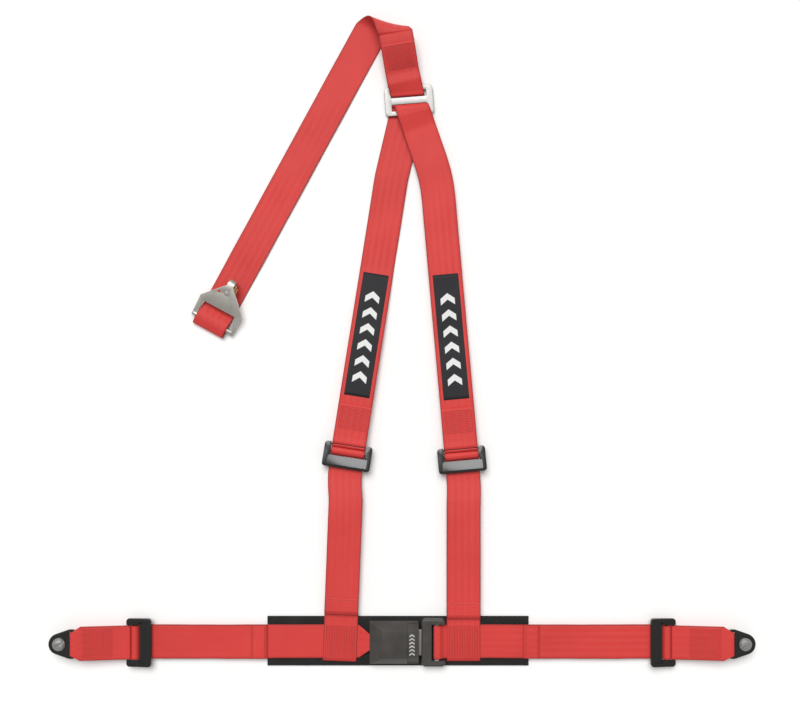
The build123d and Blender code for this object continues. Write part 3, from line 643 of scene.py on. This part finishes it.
def make_lap_side(name, lap):
    """One lap strap from the buckle's side to its adjuster, its turn there and its free end."""
    bar, hem = lap["thin_bar"], lap["hem"]
    part_at = bar - UNDER_BAR_U
    body, link = lap["body"], f"{name}_link"
    if name == "left":
        start = [(33.0, 10.9), (42.0, 10.9), (57.0, LAP_Z), (part_at, LAP_Z)]
        profile = rounded(start, [5, 6])

        def half(along):
            """The strap's end is cut to a blunt point where it enters the buckle."""
            widening = min(1.0, max(0.0, (along - TIP_START) / TIP_LENGTH))
            return TIP_HALF + (WEB_HALF - TIP_HALF) * widening
    else:
        loop = [(61.0, 8.55), (55.2, 8.75), (53.7, 9.4), (53.1, 10.6), (53.1, 11.6), (53.6, 12.8),
                (54.8, 13.4)]
        profile = [Vector(p) for p in loop]
        profile += rounded([(57.5, 13.45), (61.5, 13.3), (66.5, 8.2), (72.0, LAP_Z + 1.3),
                            (84.0, LAP_Z), (part_at, LAP_Z)], [1.6, 4, 6, 6])
        half = WEB_HALF
    strap = ribbon(f"{name}_lap_webbing", lap_sections(lap, profile, half))
    join_two(strap, body, link, lap_point(lap, 130, LAP_Z), lap_point(lap, part_at, LAP_Z),
             "webbing", f"{name}_lap_strap")

    turn = turn_profile(LAP_Z, LAP_TAIL_Z, LAP_ADJUSTER_Z)
    turn = [Vector((bar - p.x, p.y)) for p in turn]
    piece = ribbon(f"{name}_lap_turn_webbing", lap_sections(lap, turn))
    join_two(piece, link, f"{name}_lap_frame", lap_point(lap, part_at, LAP_TAIL_Z),
             lap_point(lap, bar - 15.5, LAP_TAIL_Z), "webbing", f"{name}_lap_turn")

    tail = lap_sections(lap, rounded([(part_at, LAP_TAIL_Z), (hem, LAP_TAIL_Z)], []))
    piece = ribbon(f"{name}_lap_tail_webbing", tail)
    join_two(piece, link, f"{name}_lap_tail_end", lap_point(lap, part_at - 6, LAP_TAIL_Z),
             lap_point(lap, hem + 60, LAP_TAIL_Z), "webbing", f"{name}_lap_tail")
    ply_z = LAP_TAIL_Z + HEM_PLY_UP
    ply = rounded([(hem - HEM_OVERHANG, ply_z), (hem + FOLD_PLY, ply_z)], [])
    fold = ribbon(f"{name}_lap_hem", lap_sections(lap, ply, HEM_HALF, HEM_T))

    def on_hem(distance, across):
        return lap_point(lap, hem + distance, LAP_TAIL_Z + HEM_SEAM_UP, across)

    make_hem(f"{name}_lap", fold, f"{name}_lap_tail_end", on_hem)


def make_connecting(name, lap):
    """Doubled strap between the adjuster's thin bar and the anchor plate."""
    near, far = lap["thin_bar"], lap["bolt"] - ANCHOR_BAR_IN
    rise = atan2(ANCHOR_BAR_Z - LAP_ADJUSTER_Z, far - near) * 180 / pi
    lean = 12.0
    profile = arc((near, LAP_ADJUSTER_Z), BAR_LOOP_R, 90 + rise + lean, 270 + rise - lean, 14)
    profile += [Vector(p) for p in along_ply(near, far, rise, -PLY_OFFSET)]
    profile += arc((far, ANCHOR_BAR_Z), ANCHOR_LOOP_R, -90 + rise + 40, 90 + rise - 40, 14)
    profile += [Vector(p) for p in reversed(along_ply(near, far, rise, PLY_OFFSET))]

    def half(along):
        """Narrows to the anchor plate's slot."""
        narrowing = min(1.0, max(0.0, (along - far + SLOT_NARROW_FROM) / SLOT_NARROW_RUN))
        return WEB_HALF - SLOT_NARROWING * narrowing

    heading = lap_heading(lap)
    line = sections((0, 0), heading, profile, half)
    for a, b, c in zip(line[-1:] + line[:-1], line, line[1:] + line[:1]):
        direction = (c.middle - a.middle).normalized()
        b.normal = direction.cross(b.across).normalized()
    strap = ribbon(f"{name}_connecting_webbing", line, closed=True)
    side = lap["side"]
    join_two(strap, f"{name}_link", f"{name}_anchor", (side * (far - 17), 0, ANCHOR_BAR_Z),
             (side * (far - 5), 0, ANCHOR_BAR_Z), "webbing", f"{name}_connecting_strap")
    slope = (ANCHOR_BAR_Z - LAP_ADJUSTER_Z) / (far - near)
    seam_from = 24.0
    up = LAP_ADJUSTER_Z + slope * seam_from + 1.45
    rows = block_rows((0, 0), heading, (near + seam_from, far - 14.0), BLOCK_HALF, up, slope, True)
    dress(stitches(f"{name}_connecting_seam", rows), f"{name}_link", "webbing")


def along_ply(near, far, rise, offset):
    """Points of one ply of the connecting strap between its two loops."""
    a = radians(rise)
    length = hypot(far - near, ANCHOR_BAR_Z - LAP_ADJUSTER_Z)
    points = []
    for s in PLY_PLACES + (length - 14, length - SLOT_NARROW_FROM):
        swell = 1.0
        if s == PLY_PLACES[0]:
            swell = BAR_SWELL
        if s == length - SLOT_NARROW_FROM:
            swell = ANCHOR_SWELL
        points.append((near + s * cos(a) - offset * swell * sin(a),
                       LAP_ADJUSTER_Z + s * sin(a) + offset * swell * cos(a)))
    return points


# ---- the yoke plate's slots ----
def yoke_point(n, up=YOKE_Z):
    """Point on the yoke plate's middle line, n from its centre towards the rear strap."""
    turn = radians(YOKE_TURN)
    return Vector((YOKE_CENTRE[0] - n * sin(turn), YOKE_CENTRE[1] + n * cos(turn), up))


def routed(plan, profile, slot_at):
    """Sections of a strap that follows a bent line in plan; profile holds (distance along, up).
    Beside slot_at, the distance where it folds in the yoke plate's slot, it lies square to the slot."""
    turn = radians(YOKE_TURN)
    slot_across = Vector((cos(turn), sin(turn), 0))
    found = []
    for point, direction in zip(profile, tangents(profile)):
        place, heading = place_on(plan, point.x)
        along = Vector((heading.x, heading.y, 0)).normalized()
        across = Vector((-along.y, along.x, 0))
        target = slot_across if across.dot(slot_across) > 0 else -slot_across
        across = target.lerp(across, smooth(abs(point.x - slot_at) / SLOT_EASE)).normalized()
        normal = across.cross(-(along * direction.x + Vector((0, 0, direction.y)))).normalized()
        found.append(Section(Vector((place.x, place.y, point.y)), across, normal))
    return found


def slot_point(side, shift):
    """Where a strap folds in the yoke plate's slot, in plan."""
    turn = radians(YOKE_TURN)
    point = yoke_point(side * YOKE_FOLD_N)
    return Vector((point.x + shift * cos(turn), point.y + shift * sin(turn)))


# ---- shoulder straps ----
def lower_sections(shoulder, profile):
    """Sections below the adjuster; profile's along counts down from the thin bar. The strap leaves
    the adjuster on the branch's heading and turns to its own."""
    bar = Vector((*shoulder["bar"], 0))
    found = []
    frames = []
    for heading in (shoulder["branch"], shoulder["lower"]):
        a = radians(-90 - heading)
        frames.append(Vector((cos(a), sin(a), 0)))
    foot = Vector((shoulder["patch"], 0, 0))
    reach = bar.y / -frames[1].y
    for point, direction in zip(profile, tangents(profile)):
        s = point.x
        weight = smooth((s - 26.0) / 60.0)
        near = bar + frames[0] * s
        far = foot - frames[1] * (reach - s)
        along = frames[0].lerp(frames[1], weight).normalized()
        across = Vector((-along.y, along.x, 0))
        middle = near.lerp(far, weight) + Vector((0, 0, point.y))
        normal = across.cross(-(along * direction.x + Vector((0, 0, direction.y)))).normalized()
        found.append(Section(middle, across, normal))
    return found


def make_lower_side(name, shoulder):
    """One lower shoulder strap from its patch on the lap strap up to the adjuster, its turn there,
    its free end and the patch's stitches."""
    foot = shoulder["bar"][1] / cos(radians(shoulder["lower"]))
    middle = foot / 2
    frame_body = f"{name}_shoulder_frame"
    tail_body = f"{name}_shoulder_tail_end"
    running = rounded([(UNDER_BAR_U, SHOULDER_Z), (foot - PATCH_LOW_Y, SHOULDER_Z)], [])

    def at(distance, up=SHOULDER_Z):
        section = lower_sections(shoulder, [Vector((distance, up)), Vector((distance + 1, up))])[0]
        return section.middle

    if name == "left":
        strap = ribbon("left_lower_webbing", lower_sections(shoulder, running))
        join_two(strap, "shoulders", "buckle", at(UNDER_BAR_U), at(foot - 45), "webbing",
                 "left_lower_strap")
    else:
        upper = [p for p in running if p.x <= middle]
        upper.append(Vector((middle, SHOULDER_Z)))
        lower = [Vector((middle, SHOULDER_Z))] + [p for p in running if p.x > middle]
        strap = ribbon("right_lower_webbing_top", lower_sections(shoulder, upper))
        join_two(strap, "shoulders", "buckle", at(UNDER_BAR_U), at(middle), "webbing",
                 "right_lower_strap")
        strap = ribbon("right_lower_webbing_foot", lower_sections(shoulder, lower),
                       start_along=upper[-1].x - upper[0].x)
        join_two(strap, "buckle", "tongue", at(middle), at(foot - 45), "webbing")

    turn = turn_profile(SHOULDER_Z, SHOULDER_TAIL_Z, SHOULDER_ADJUSTER_Z)
    piece = ribbon(f"{name}_shoulder_turn_webbing", lower_sections(shoulder, turn))
    join_two(piece, "shoulders", frame_body, at(UNDER_BAR_U), at(15.5), "webbing",
             f"{name}_shoulder_turn")

    hem = foot - shoulder["hem"] / cos(radians(shoulder["lower"]))
    free_up = SHOULDER_TAIL_Z + TAIL_LIFT
    tail = rounded([(UNDER_BAR_U, SHOULDER_TAIL_Z), (45, SHOULDER_TAIL_Z), (75, free_up), (hem, free_up)],
                   [60, 60])
    piece = ribbon(f"{name}_shoulder_tail_webbing", lower_sections(shoulder, tail))
    join_two(piece, "shoulders", tail_body, at(UNDER_BAR_U + 6), at(hem - 60), "webbing",
             f"{name}_shoulder_tail")
    ply_z = free_up + HEM_PLY_UP
    line = lower_sections(shoulder, rounded([(hem - FOLD_PLY, ply_z), (hem + HEM_OVERHANG, ply_z)], []))
    for section in line:
        section.half, section.thick = HEM_HALF, HEM_T
    fold = ribbon(f"{name}_shoulder_hem", line)
    origin = (at(foot).x, at(foot).y)
    heading = 90 - shoulder["lower"]

    def on_hem(distance, across):
        return on_strap(origin, heading, shoulder["hem"] + distance, across, free_up + HEM_SEAM_UP)

    make_hem(f"{name}_shoulder", fold, tail_body, on_hem)
    patch_body = "buckle" if name == "left" else "tongue"
    rows = block_rows(origin, heading, (PATCH_LOW_Y + 4, 22), PATCH_HALF, SHOULDER_Z + WEB_T / 2 + 0.12)
    dress(stitches(f"{name}_patch_seam", rows), patch_body, "webbing")


def branch_profile(level, ending):
    """Height along an upper branch: down from its adjuster to a level, then the given ending."""
    route = [(0, SHOULDER_ADJUSTER_Z), (10, SHOULDER_ADJUSTER_Z - 0.6), (100, 11.5), (165, 8.4), (270, level)]
    return rounded(route + ending, [30, 60, 60, 60] + YOKE_END_RADII)


def branch_origin(shoulder):
    return shoulder["bar"], 90 - shoulder["branch"]


def make_branch(name, shoulder, line):
    """One upper branch, with its loop and sewn overlap at the adjuster."""
    origin, heading = branch_origin(shoulder)
    strap = ribbon(f"{name}_upper_webbing", line)
    replaced = ["upper_strap"] if name == "left" else []
    join_two(strap, "shoulders", "yoke", yoke_point(-YOKE_BAR_N - 6), yoke_point(-YOKE_FOLD_N), "webbing",
             *replaced)
    loop = arc((0, SHOULDER_ADJUSTER_Z), BAR_LOOP_R, 80, 270, 14)
    loop += rounded([(4, SHOULDER_ADJUSTER_Z - 2.2), (12, SHOULDER_ADJUSTER_Z - 2.0), (62, 11.2)], [20])
    under = ribbon(f"{name}_adjuster_loop", sections(origin, heading, loop[::-1]))
    dress(under, "shoulders", "webbing")
    flap = rounded([(1.5, SHOULDER_ADJUSTER_Z + 2.3), (6, SHOULDER_ADJUSTER_Z + 1.6), (12, 14.3),
                    (62, 13.95)], [8, 20])
    over = ribbon(f"{name}_adjuster_flap", sections(origin, heading, flap))
    dress(over, "shoulders", "webbing")
    rows = block_rows(origin, heading, (25, 58), BLOCK_HALF, 15.0, -0.008, True)
    dress(stitches(f"{name}_branch_seam", rows), "shoulders", "webbing")


def make_label(name, shoulder, end_z):
    """The woven label on one upper branch and the seam round its edge."""
    origin, heading = branch_origin(shoulder)
    start = shoulder["label"]
    profile = [Vector((p.x, p.y + WEB_T / 2 + 0.2)) for p in branch_profile(end_z, [(420, end_z)])
               if start <= p.x <= start + LABEL_LENGTH]
    label = ribbon(f"{name}_label_cloth", sections(origin, heading, profile, LABEL_HALF, LABEL_T),
                   PAINTS["label_cloth"])
    dress(label, "shoulders", "label_cloth", f"{name}_label")

    def on_label(point, across, inwards=0.0):
        return on_strap(origin, heading, point.x + inwards, across, point.y + 0.3)

    rows = []
    for a, b in zip(profile, profile[1:]):
        for side in (-LABEL_SEAM_HALF, LABEL_SEAM_HALF):
            rows.append((on_label(a, side), on_label(b, side), UP))
    for end, inwards in ((profile[0], LABEL_SEAM_IN), (profile[-1], -LABEL_SEAM_IN)):
        rows.append((on_label(end, -LABEL_SEAM_HALF, inwards), on_label(end, LABEL_SEAM_HALF, inwards), UP))
    dress(stitches(f"{name}_label_seam", rows, BLACK_THREAD, 2.2, 3.0, 0.22), "shoulders", "label_cloth")


def make_upper_straps():
    """Both branches. At the yoke plate the left one passes behind its bar and comes up in the slot,
    where the right one folds over the bar from the front."""
    for name, level, shift, heights in (("left", FLOOR_WEB_Z, -1.5, FOLD_BEHIND),
                                        ("right", FRONT_Z, 2.5, FOLD_FRONT)):
        shoulder = SHOULDERS[name]
        origin, heading = branch_origin(shoulder)
        knee = on_strap(origin, heading, KNEE_S, 0, 0)
        plan = rounded([origin, knee.xy, slot_point(-1, shift)], [KNEE_RADIUS], 6.0)
        total = length_of(plan)
        ending = [(total - back, up) for back, up in heights]
        line = routed(plan, branch_profile(level, ending), total)
        make_branch(name, shoulder, line)
        make_label(name, shoulder, level)


# ---- rear strap ----
def roll_sections():
    """The soft half-turn at the top: the strap crosses the roll at a slant that eases off."""
    out = Vector((cos(radians(ROLL_ANGLE - 90)), sin(radians(ROLL_ANGLE - 90)), 0))
    axis = Vector((cos(radians(ROLL_ANGLE)), sin(radians(ROLL_ANGLE)), 0))
    first_slant = radians(REAR_UP_ANGLE - ROLL_ANGLE + 90)
    last_slant = radians(ROLL_ANGLE + 90 - REAR_DOWN_ANGLE)
    found = []
    for k in range(1, ROLL_STEPS):
        t = k / ROLL_STEPS
        turn = pi * t
        slant = first_slant + (last_slant - first_slant) * t
        middle = Vector((*ROLL_CENTRE, FLOOR_WEB_Z + ROLL_R)) + axis * ROLL_SHIFT * (t - 0.5)
        middle += out * ROLL_R * sin(turn) + UP * ROLL_R * cos(turn)
        onward = out * cos(turn) - UP * sin(turn)
        across = axis * cos(slant) - onward * sin(slant)
        found.append(Section(middle, across, out * sin(turn) + UP * cos(turn)))
    return found


def make_rear():
    """Sewn round the yoke plate, up over the roll, then down behind and round the bracket's bar."""
    top = FLOOR_WEB_Z + 2 * ROLL_R
    far = on_strap(REAR_START, REAR_UP_ANGLE, REAR_RISE, 0, 0).xy
    bend = on_strap(REAR_START, REAR_UP_ANGLE, 20, 0, 0).xy
    plan = rounded([slot_point(1, -1.5), bend, far], [300], 3.0)
    total = length_of(plan)
    rise = rounded(REAR_BEHIND + [(total - 22, top - 2.2), (total - 9, top - 0.05), (total, top)],
                   [2.5, 5, 12, 16, 60, 60])
    rising = routed(plan, rise, 0)
    line = rising[-1:] + roll_sections()
    reach = (Vector(BRACKET_BAR) - Vector(REAR_FOLD)).length
    fall = rounded([(2, FLOOR_WEB_Z), (reach + 13.5, FLOOR_WEB_Z), (reach + 13.5, 7.2),
                    (reach + 3, 11.5), (reach - 6, 11.2), (reach - 20, 3.2), (reach - 28, 2.25),
                    (reach - 40, 2.25)], [2.2, 5, 20, 12, 6, 4])
    back = sections(REAR_FOLD, REAR_DOWN_ANGLE, fall)
    for section in back:
        section.across = -section.across
        section.normal = -section.normal
    line += back
    hinge = yoke_point(YOKE_FOLD_N), yoke_point(YOKE_BAR_N + 6)
    join_two(ribbon("rear_webbing_rise", rising), "yoke", "rear", *hinge, "webbing", "rear_strap")
    dress(ribbon("rear_webbing", line, start_along=total), "rear", "webbing")
    flap = rounded(REAR_FRONT + [(total - 21, top - 1.2), (total - 15, top - 0.3)], [2.5, 5, 12, 20, 40])
    join_two(ribbon("rear_flap", routed(plan, flap, 0)), "yoke", "rear", *hinge, "webbing")
    rows = block_rows(REAR_START, REAR_UP_ANGLE, (26, 58), BLOCK_HALF, 19.4, 0.30, True)
    dress(stitches("rear_seam", rows), "rear", "webbing")


# ---- buckle, pad and fittings ----
def make_pad():
    """Quilted pad: padded cloth with a bound edge and a seam round it."""
    half_x, half_y, thick, seam_in = 194.0, 36.7, 3.9, 5.2
    nx, ny = 120, 26
    verts, faces = [], []
    for side in (1, -1):
        for i in range(nx + 1):
            for j in range(ny + 1):
                x, y = -half_x + 2 * half_x * i / nx, -half_y + 2 * half_y * j / ny
                inward = min(half_x - abs(x), half_y - abs(y))
                bulge = min(1.0, max(0.0, inward / 3.0)) ** 0.5
                seam = 0.55 * max(0.0, 1 - abs(inward - seam_in) / 1.8)
                ripple = 0.18 * sin(x * 0.21 + sin(y * 0.3)) * min(1.0, inward / 12)
                up = 2.0 + side * (0.5 + 1.25 * bulge) + (ripple - seam if side > 0 else 0)
                verts.append((x, y, max(0.05, min(thick, up))))
    size = (nx + 1) * (ny + 1)
    for i in range(nx):
        for j in range(ny):
            a = i * (ny + 1) + j
            b = a + ny + 1
            faces.append((a, b, b + 1, a + 1))
            faces.append((size + a, size + a + 1, size + b + 1, size + b))
    rim = [i * (ny + 1) for i in range(nx)] + [nx * (ny + 1) + j for j in range(ny)]
    rim += [i * (ny + 1) + ny for i in range(nx, 0, -1)] + [j for j in range(ny, 0, -1)]
    for a, b in zip(rim, rim[1:] + rim[:1]):
        faces.append((b, a, size + a, size + b))
    pad = new_object("pad_cushion", verts, faces, PAINTS["pad_cloth"])
    dress(pad, "buckle", "pad_cloth", "buckle_pad")
    x, y, up = half_x - seam_in, half_y - seam_in, 3.25
    corners = [Vector((-x, -y, up)), Vector((x, -y, up)), Vector((x, y, up)), Vector((-x, y, up))]
    seams = [(p, q, UP) for p, q in zip(corners, corners[1:] + corners[:1])]
    dress(stitches("pad_seam", seams, BLACK_THREAD, 2.4, 3.4, 0.25, False), "buckle", "pad_cloth")


def make_mark():
    """Plain chevrons printed on the release button."""
    count, first_y, pitch, up = 6, -17.0, 5.4, 22.72
    chevron = ((16.8, 0.0), (20.7, 2.6), (24.6, 0.0), (24.6, 2.3), (20.7, 4.9), (16.8, 2.3))
    verts, faces = [], []
    for k in range(count):
        y = first_y + pitch * k
        base = len(verts)
        for x, dy in chevron:
            verts.append((x, y + dy, up))
        faces += [(base, base + 1, base + 4, base + 5), (base + 1, base + 2, base + 3, base + 4)]
    dress(new_object("button_mark", verts, faces, MARK, False), "button", "buckle_plastic")


def make_fittings():
    """Every machined or moulded piece, with its body, its slot and how wide its edges are broken."""
    plans = [
        ("buckle_lower_cover", "buckle", "buckle_plastic", 0.8),
        ("buckle_upper_cover", "buckle", "buckle_plastic", 1.0),
        ("release_button", "button", "buckle_plastic", 0.8),
        ("tongue_cover", "tongue", "buckle_plastic", 0.5),
        ("ejector", "ejector_block", "buckle_plastic", 0.3),
        ("buckle_frame", "buckle", "bright_steel", 0.3),
        ("latch_plate", "latch", "bright_steel", 0.2),
        ("tongue_plate", "tongue", "bright_steel", 0.5),
        ("yoke_plate", "yoke", "bright_steel", 0.4),
        ("rear_bracket", "rear_hook", "zinc_plate", 0.45),
        ("gate_rivet", "rear_hook", "zinc_plate", 0.3),
        ("hook_gate", "gate", "gold_zinc", 0.25),
    ]
    for side in ("left", "right"):
        plans += [
            (f"{side}_lap_adjuster", f"{side}_lap_frame", "black_enamel", 0.9),
            (f"{side}_shoulder_adjuster", f"{side}_shoulder_frame", "black_enamel", 0.9),
            (f"{side}_anchor_plate", f"{side}_anchor", "black_enamel", 0.5),
            (f"{side}_anchor_bolt", f"{side}_bolt", "bright_steel", 0.35),
            (f"{side}_bolt_washer", f"{side}_bolt", "bright_steel", 0.2),
        ]
    for node, body, slot, width in plans:
        machined(node, body, slot, width)
    for node in ("buckle_screws", "button_spring", "ejector_spring"):
        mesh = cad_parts[node].data
        mesh.materials.clear()
        mesh.materials.append(PAINTS["bright_steel"])


# ---- the stage ----
CAMERA = (3.0, 426.0, 1600.0)
FIELD_W = 1190.6
KEY_FROM = (-0.12, 0.46, 0.88)
KEY_SPREAD = 38.0
KEY_STRENGTH = 2.5
WORLD_STRENGTH = 0.42
FLOOR_HALF = 4000
FLOOR_Z = -0.4


def make_stage():
    """White floor, pale surroundings, one broad sun and the camera straight above."""
    corners = [(x * FLOOR_HALF, y * FLOOR_HALF, FLOOR_Z) for x, y in ((-1, -1), (1, -1), (1, 1), (-1, 1))]
    floor = new_object("floor", corners, [(0, 1, 2, 3)],
                       Paint("floor_white", (0.93, 0.93, 0.92), 0.9).material, False)
    scene = bpy.context.scene
    scene.view_settings.view_transform = "Standard"
    world = bpy.data.worlds.new("studio")
    world.use_nodes = True
    world.node_tree.nodes["Background"].inputs[0].default_value = (1, 0.995, 0.985, 1)
    world.node_tree.nodes["Background"].inputs[1].default_value = WORLD_STRENGTH
    scene.world = world
    light = bpy.data.lights.new("key", "SUN")
    light.angle = radians(KEY_SPREAD)
    light.energy = KEY_STRENGTH
    lamp = bpy.data.objects.new("key", light)
    lamp.rotation_mode = "QUATERNION"
    lamp.rotation_quaternion = Vector(KEY_FROM).to_track_quat("Z", "Y")
    scene.collection.objects.link(lamp)
    camera = bpy.data.cameras.new("camera")
    camera.sensor_width = 36.0
    camera.lens = camera.sensor_width * CAMERA[2] / FIELD_W
    eye = bpy.data.objects.new("camera", camera)
    eye.location = tuple(c * MM for c in CAMERA)
    scene.collection.objects.link(eye)
    scene.camera = eye


make_stage()
make_pad()
make_fittings()
make_mark()
for side in ("left", "right"):
    make_lap_side(side, LAPS[side])
    make_connecting(side, LAPS[side])
    make_lower_side(side, SHOULDERS[side])
make_upper_straps()
make_rear()
